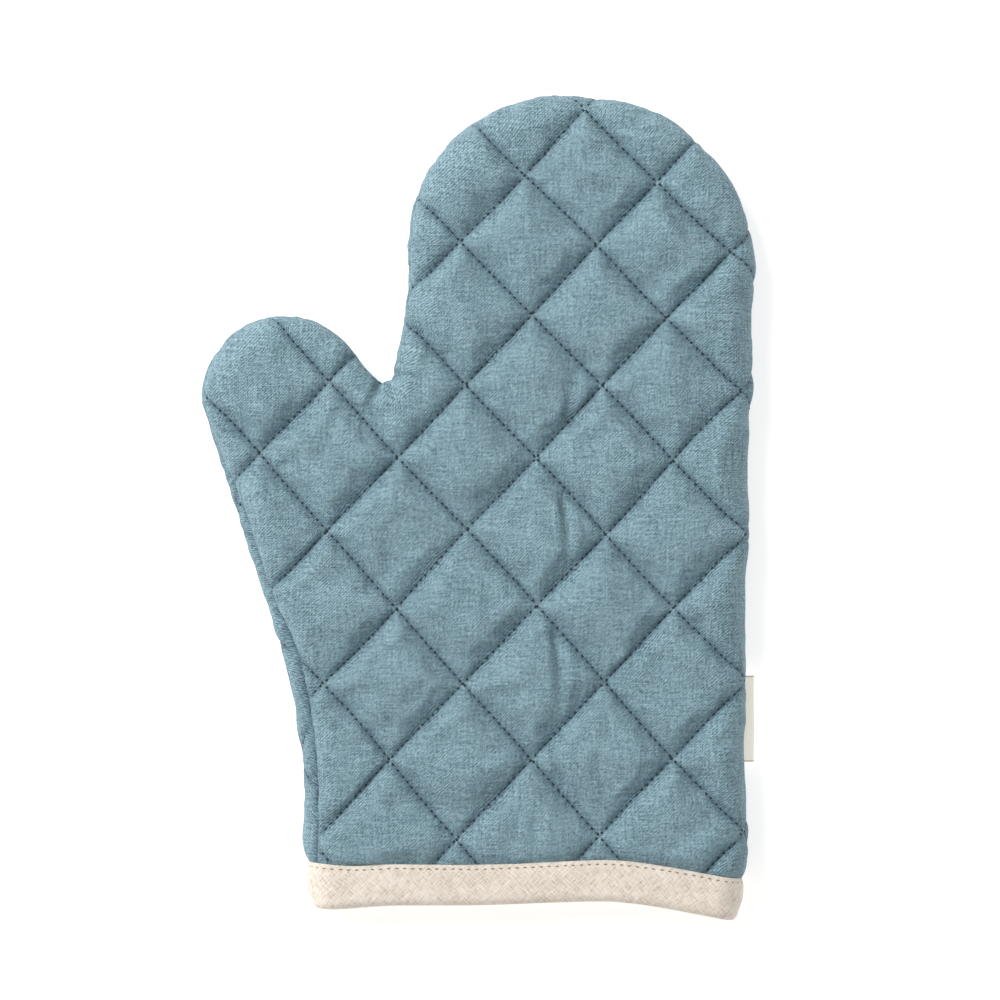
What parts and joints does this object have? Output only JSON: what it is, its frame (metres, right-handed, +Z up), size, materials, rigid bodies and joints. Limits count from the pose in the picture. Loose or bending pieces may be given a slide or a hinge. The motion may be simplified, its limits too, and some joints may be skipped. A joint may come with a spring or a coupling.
{
  "type": "oven mitt",
  "caption": "Quilted oven mitt with a thumb, wadding between face cloth and lining, bound cuff and a side label.",
  "frame": {"origin": "bottom centre of the mitt's box, on the surface that it lies on", "axes": "+Y from the cuff towards the fingertips, +X to the right with the thumb on the left, +Z up out of the front panel"},
  "size_m": [0.2123, 0.3176, 0.028],
  "materials": {
    "face_linen": "matte linen weave",
    "wadding": "soft fibre",
    "lining": "matte cotton weave",
    "dark_thread": "matte spun thread",
    "overlock_thread": "matte spun thread",
    "binding_linen": "matte linen weave",
    "binding_thread": "matte spun thread",
    "label_tape": "satin woven tape"
  },
  "bodies": {
    "root": {"front_face_panel": "face_linen", "back_face_panel": "face_linen", "front_wadding": "wadding", "back_wadding": "wadding", "front_lining": "lining", "back_lining": "lining", "front_quilting_thread": "dark_thread", "back_quilting_thread": "dark_thread", "perimeter_seam_thread": "dark_thread", "inner_seam_overlock": "overlock_thread", "cuff_binding": "binding_linen", "binding_stitching": "binding_thread", "side_label": "label_tape"}
  },
  "joints": []
}
